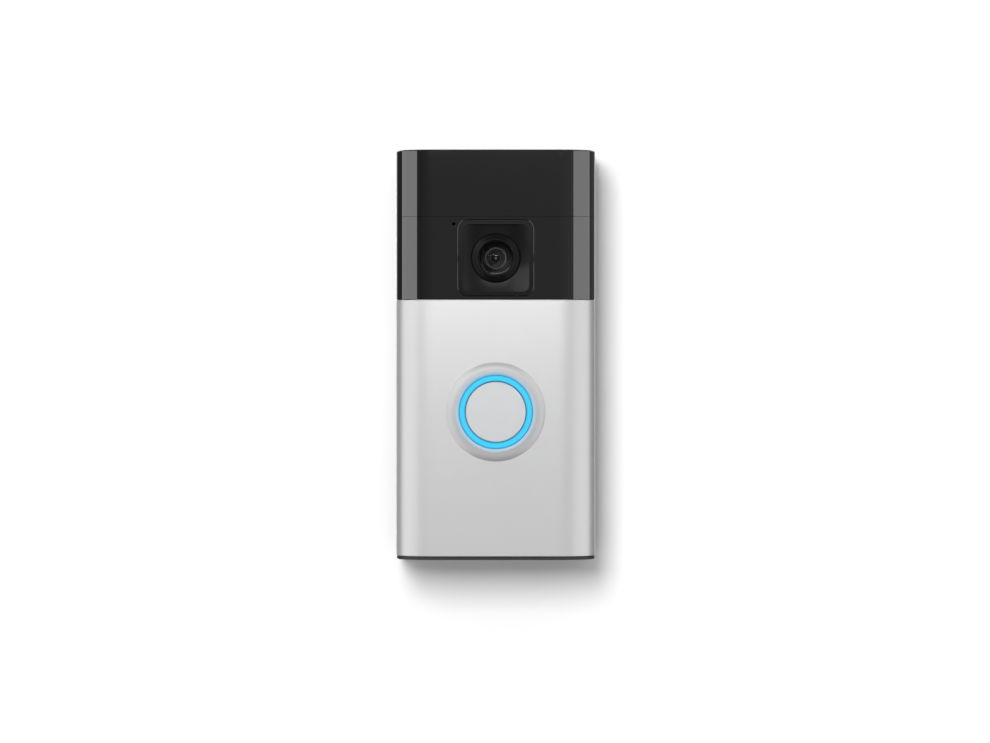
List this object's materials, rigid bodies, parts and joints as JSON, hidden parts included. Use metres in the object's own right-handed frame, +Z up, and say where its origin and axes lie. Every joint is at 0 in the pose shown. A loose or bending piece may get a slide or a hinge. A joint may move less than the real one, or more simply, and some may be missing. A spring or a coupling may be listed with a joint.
{
  "type": "video doorbell",
  "caption": "Slim wall-mounted video doorbell: gloss black motion and camera covers, satin nickel faceplate, light-blue lit ring button, on a hooked wall bracket.",
  "frame": {"origin": "centre of the mounting bracket's back face, where it meets the wall, at the doorbell's mid-height", "axes": "+Z up along the doorbell's length, +Y into the wall, +X to the right as a visitor sees it, so the front with the camera and button faces -Y"},
  "size_m": [0.062, 0.028, 0.127],
  "materials": {
    "bracket": "fine spark-eroded matte black moulding",
    "housing": "fine matte black moulding",
    "gloss_black": "polished piano black",
    "satin_nickel": "satin nickel, finely blasted",
    "bezel_black": "satin black, finely textured",
    "barrel_black": "semi-gloss black",
    "lens_glass": "coated optical glass",
    "light_ring": "translucent diffuser, lit light blue",
    "light_guide": "clear moulded acrylic",
    "inner_plastic": "matte charcoal moulding",
    "white_plastic": "natural white moulding",
    "seal_rubber": "soft matte silicone",
    "circuit_board": "green solder mask",
    "component_black": "moulded epoxy",
    "steel": "plated steel",
    "nickel_steel": "nickel plated",
    "brass": "plated brass",
    "copper_foil": "lacquered copper foil",
    "ferrite": "dark sintered ferrite",
    "sensor_glass": "filter glass",
    "cell_wrap": "printed-free foil pouch",
    "orange_button": "satin orange",
    "lead_jacket": "red silicone jacket",
    "foam": "closed-cell foam",
    "led_lens": "dark infrared epoxy",
    "led_white": "phosphor lamp"
  },
  "bodies": {
    "bracket": {"mounting_bracket": "bracket", "latch_arm": "steel"},
    "unit": {"rear_housing": "housing", "motion_window": "gloss_black", "camera_cover": "gloss_black", "front_housing": "inner_plastic", "housing_gasket": "seal_rubber", "housing_screws": "nickel_steel", "camera_bezel": "bezel_black", "camera_seal": "seal_rubber", "lens_barrel": "barrel_black", "lens_retainer": "barrel_black", "lens_dome": "lens_glass", "lens_element_middle": "lens_glass", "lens_element_rear": "lens_glass", "infrared_filter": "sensor_glass", "image_sensor": "component_black", "sensor_board": "circuit_board", "led_board": "circuit_board", "infrared_leds": "led_lens", "microphone": "steel", "microphone_seal": "seal_rubber", "ambient_light_sensor": "led_lens", "fresnel_insert": "white_plastic", "pir_board": "circuit_board", "pir_sensors": "nickel_steel", "pir_filters": "sensor_glass", "main_board": "circuit_board", "shield_can": "steel", "processor": "component_black", "power_coils": "ferrite", "wifi_antenna": "copper_foil", "ring_leds": "led_white", "light_guide": "light_guide", "doorbell_switch": "component_black", "rear_board": "circuit_board", "usb_shell": "steel", "usb_tongue": "component_black", "terminal_plates": "brass", "terminal_screws": "nickel_steel", "setup_switch": "component_black", "battery_cradle": "inner_plastic", "battery_cell": "cell_wrap", "battery_pad": "foam", "battery_lead": "lead_jacket", "battery_plug": "white_plastic", "battery_socket": "white_plastic", "speaker_frame": "inner_plastic", "speaker_cone": "component_black", "speaker_magnet": "nickel_steel", "speaker_gasket": "foam"},
    "faceplate": {"faceplate": "satin_nickel", "ring_diffuser": "light_ring", "button_carrier": "inner_plastic"},
    "button": {"button_cap": "satin_nickel", "button_membrane": "seal_rubber"},
    "switch_plunger": {"switch_plunger": "white_plastic"},
    "setup_button": {"setup_button": "orange_button", "setup_plunger": "white_plastic"}
  },
  "joints": [
    {"name": "unit_tilt", "type": "hinge", "parent": "bracket", "child": "unit", "pos_m": [0, -0.0042, 0.0594], "axis": [-1, 0, 0], "range_deg": [0, 15], "deforming": ["latch_arm"]},
    {"name": "faceplate_pull", "type": "slide", "parent": "unit", "child": "faceplate", "axis": [0, -1, 0], "range_m": [0, 0.024]},
    {"name": "button_press", "type": "slide", "parent": "faceplate", "child": "button", "axis": [0, 1, 0], "range_m": [0, 0.0005], "stiffness_N_per_m": 700, "deforming": ["button_membrane"]},
    {"name": "switch_travel", "type": "slide", "parent": "unit", "child": "switch_plunger", "axis": [0, 1, 0], "range_m": [0, 0.0005]},
    {"name": "setup_press", "type": "slide", "parent": "unit", "child": "setup_button", "axis": [0, -1, 0], "range_m": [0, 0.0005], "stiffness_N_per_m": 400}
  ],
  "couplings": [
    {"joint": "switch_travel", "follows": "button_press", "ratio": 1}
  ]
}
